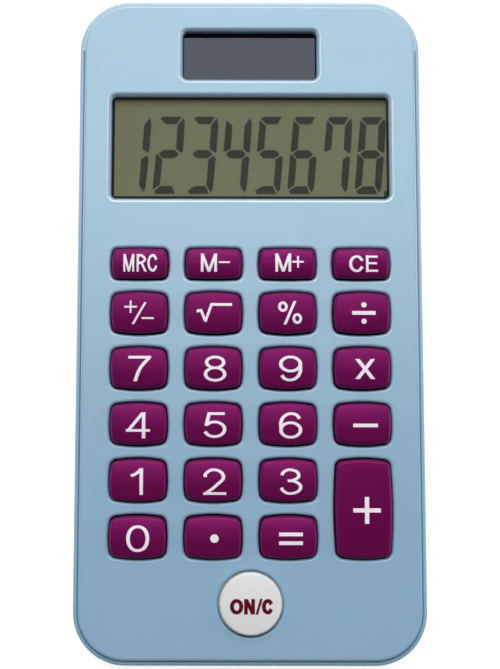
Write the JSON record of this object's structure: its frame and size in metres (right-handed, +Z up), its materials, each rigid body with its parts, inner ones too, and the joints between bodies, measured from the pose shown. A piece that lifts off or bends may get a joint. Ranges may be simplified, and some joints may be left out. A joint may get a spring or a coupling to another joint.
{
  "type": "pocket calculator",
  "caption": "Slim hand-held solar calculator: two-shell plastic case with a raised face, display and solar windows, and sprung keys over a rubber dome mat.",
  "frame": {"origin": "centre of the outline at the bottom of the rubber feet", "axes": "+Z up out of the key face, +Y along the length towards the display, +X to the right when the keys are read"},
  "size_m": [0.062, 0.119, 0.011],
  "materials": {
    "case_blue": "satin moulded plastic, light blue",
    "key_purple": "satin moulded plastic, purple",
    "key_white": "smooth moulded plastic, white",
    "clear_acrylic": "clear polished acrylic",
    "smoked_acrylic": "dark smoked acrylic",
    "polarizer": "grey-green polarising film",
    "display_glass": "thin clear glass",
    "reflector": "matt reflecting film",
    "connector_rubber": "striped conductive rubber",
    "foam": "soft closed-cell foam",
    "solar_glass": "amorphous silicon on glass",
    "silicone": "translucent silicone",
    "board": "paper phenolic board",
    "epoxy": "black epoxy drop",
    "ceramic_chip": "fired ceramic",
    "resistor_black": "black moulded body",
    "red_wire": "red insulation",
    "black_wire": "black insulation",
    "cell_steel": "nickel-plated steel",
    "contact_brass": "spring brass",
    "screw_steel": "zinc-plated steel",
    "tape_black": "thin black adhesive tape",
    "foot_rubber": "matt rubber"
  },
  "bodies": {
    "housing": {"front_case": "case_blue", "rear_case": "case_blue", "battery_door": "case_blue", "display_window": "clear_acrylic", "display_tape": "tape_black", "solar_window": "smoked_acrylic", "key_mat": "silicone", "circuit_board": "board", "chip_glob_top": "epoxy", "chip_capacitors": "ceramic_chip", "chip_resistor": "resistor_black", "blocking_diode": "resistor_black", "lcd_front_polarizer": "polarizer", "lcd_front_glass": "display_glass", "lcd_rear_glass": "display_glass", "lcd_reflector": "reflector", "lcd_connector": "connector_rubber", "lcd_foam_pads": "foam", "solar_cell": "solar_glass", "solar_lead_positive": "red_wire", "solar_lead_negative": "black_wire", "button_cell": "cell_steel", "battery_contact_positive": "contact_brass", "battery_contact_negative": "contact_brass", "battery_door_screw": "screw_steel", "case_screws": "screw_steel", "board_screws": "screw_steel", "rubber_feet": "foot_rubber"},
    "key_mrc": {"key_mrc": "key_purple"},
    "key_m_minus": {"key_m_minus": "key_purple"},
    "key_m_plus": {"key_m_plus": "key_purple"},
    "key_ce": {"key_ce": "key_purple"},
    "key_sign": {"key_sign": "key_purple"},
    "key_root": {"key_root": "key_purple"},
    "key_percent": {"key_percent": "key_purple"},
    "key_divide": {"key_divide": "key_purple"},
    "key_7": {"key_7": "key_purple"},
    "key_8": {"key_8": "key_purple"},
    "key_9": {"key_9": "key_purple"},
    "key_multiply": {"key_multiply": "key_purple"},
    "key_4": {"key_4": "key_purple"},
    "key_5": {"key_5": "key_purple"},
    "key_6": {"key_6": "key_purple"},
    "key_minus": {"key_minus": "key_purple"},
    "key_1": {"key_1": "key_purple"},
    "key_2": {"key_2": "key_purple"},
    "key_3": {"key_3": "key_purple"},
    "key_plus": {"key_plus": "key_purple"},
    "key_0": {"key_0": "key_purple"},
    "key_point": {"key_point": "key_purple"},
    "key_equals": {"key_equals": "key_purple"},
    "key_on": {"key_on": "key_white"}
  },
  "joints": [
    {"name": "key_mrc_press", "type": "slide", "parent": "housing", "child": "key_mrc", "axis": [0, 0, -1], "range_m": [0, 0.001], "stiffness_N_per_m": 600, "springref_m": -0.0003, "deforming": ["key_mat"]},
    {"name": "key_m_minus_press", "type": "slide", "parent": "housing", "child": "key_m_minus", "axis": [0, 0, -1], "range_m": [0, 0.001], "stiffness_N_per_m": 600, "springref_m": -0.0003, "deforming": ["key_mat"]},
    {"name": "key_m_plus_press", "type": "slide", "parent": "housing", "child": "key_m_plus", "axis": [0, 0, -1], "range_m": [0, 0.001], "stiffness_N_per_m": 600, "springref_m": -0.0003, "deforming": ["key_mat"]},
    {"name": "key_ce_press", "type": "slide", "parent": "housing", "child": "key_ce", "axis": [0, 0, -1], "range_m": [0, 0.001], "stiffness_N_per_m": 600, "springref_m": -0.0003, "deforming": ["key_mat"]},
    {"name": "key_sign_press", "type": "slide", "parent": "housing", "child": "key_sign", "axis": [0, 0, -1], "range_m": [0, 0.001], "stiffness_N_per_m": 600, "springref_m": -0.0003, "deforming": ["key_mat"]},
    {"name": "key_root_press", "type": "slide", "parent": "housing", "child": "key_root", "axis": [0, 0, -1], "range_m": [0, 0.001], "stiffness_N_per_m": 600, "springref_m": -0.0003, "deforming": ["key_mat"]},
    {"name": "key_percent_press", "type": "slide", "parent": "housing", "child": "key_percent", "axis": [0, 0, -1], "range_m": [0, 0.001], "stiffness_N_per_m": 600, "springref_m": -0.0003, "deforming": ["key_mat"]},
    {"name": "key_divide_press", "type": "slide", "parent": "housing", "child": "key_divide", "axis": [0, 0, -1], "range_m": [0, 0.001], "stiffness_N_per_m": 600, "springref_m": -0.0003, "deforming": ["key_mat"]},
    {"name": "key_7_press", "type": "slide", "parent": "housing", "child": "key_7", "axis": [0, 0, -1], "range_m": [0, 0.001], "stiffness_N_per_m": 600, "springref_m": -0.0003, "deforming": ["key_mat"]},
    {"name": "key_8_press", "type": "slide", "parent": "housing", "child": "key_8", "axis": [0, 0, -1], "range_m": [0, 0.001], "stiffness_N_per_m": 600, "springref_m": -0.0003, "deforming": ["key_mat"]},
    {"name": "key_9_press", "type": "slide", "parent": "housing", "child": "key_9", "axis": [0, 0, -1], "range_m": [0, 0.001], "stiffness_N_per_m": 600, "springref_m": -0.0003, "deforming": ["key_mat"]},
    {"name": "key_multiply_press", "type": "slide", "parent": "housing", "child": "key_multiply", "axis": [0, 0, -1], "range_m": [0, 0.001], "stiffness_N_per_m": 600, "springref_m": -0.0003, "deforming": ["key_mat"]},
    {"name": "key_4_press", "type": "slide", "parent": "housing", "child": "key_4", "axis": [0, 0, -1], "range_m": [0, 0.001], "stiffness_N_per_m": 600, "springref_m": -0.0003, "deforming": ["key_mat"]},
    {"name": "key_5_press", "type": "slide", "parent": "housing", "child": "key_5", "axis": [0, 0, -1], "range_m": [0, 0.001], "stiffness_N_per_m": 600, "springref_m": -0.0003, "deforming": ["key_mat"]},
    {"name": "key_6_press", "type": "slide", "parent": "housing", "child": "key_6", "axis": [0, 0, -1], "range_m": [0, 0.001], "stiffness_N_per_m": 600, "springref_m": -0.0003, "deforming": ["key_mat"]},
    {"name": "key_minus_press", "type": "slide", "parent": "housing", "child": "key_minus", "axis": [0, 0, -1], "range_m": [0, 0.001], "stiffness_N_per_m": 600, "springref_m": -0.0003, "deforming": ["key_mat"]},
    {"name": "key_1_press", "type": "slide", "parent": "housing", "child": "key_1", "axis": [0, 0, -1], "range_m": [0, 0.001], "stiffness_N_per_m": 600, "springref_m": -0.0003, "deforming": ["key_mat"]},
    {"name": "key_2_press", "type": "slide", "parent": "housing", "child": "key_2", "axis": [0, 0, -1], "range_m": [0, 0.001], "stiffness_N_per_m": 600, "springref_m": -0.0003, "deforming": ["key_mat"]},
    {"name": "key_3_press", "type": "slide", "parent": "housing", "child": "key_3", "axis": [0, 0, -1], "range_m": [0, 0.001], "stiffness_N_per_m": 600, "springref_m": -0.0003, "deforming": ["key_mat"]},
    {"name": "key_plus_press", "type": "slide", "parent": "housing", "child": "key_plus", "axis": [0, 0, -1], "range_m": [0, 0.001], "stiffness_N_per_m": 600, "springref_m": -0.0003, "deforming": ["key_mat"]},
    {"name": "key_0_press", "type": "slide", "parent": "housing", "child": "key_0", "axis": [0, 0, -1], "range_m": [0, 0.001], "stiffness_N_per_m": 600, "springref_m": -0.0003, "deforming": ["key_mat"]},
    {"name": "key_point_press", "type": "slide", "parent": "housing", "child": "key_point", "axis": [0, 0, -1], "range_m": [0, 0.001], "stiffness_N_per_m": 600, "springref_m": -0.0003, "deforming": ["key_mat"]},
    {"name": "key_equals_press", "type": "slide", "parent": "housing", "child": "key_equals", "axis": [0, 0, -1], "range_m": [0, 0.001], "stiffness_N_per_m": 600, "springref_m": -0.0003, "deforming": ["key_mat"]},
    {"name": "key_on_press", "type": "slide", "parent": "housing", "child": "key_on", "axis": [0, 0, -1], "range_m": [0, 0.001], "stiffness_N_per_m": 600, "springref_m": -0.0003, "deforming": ["key_mat"]}
  ]
}
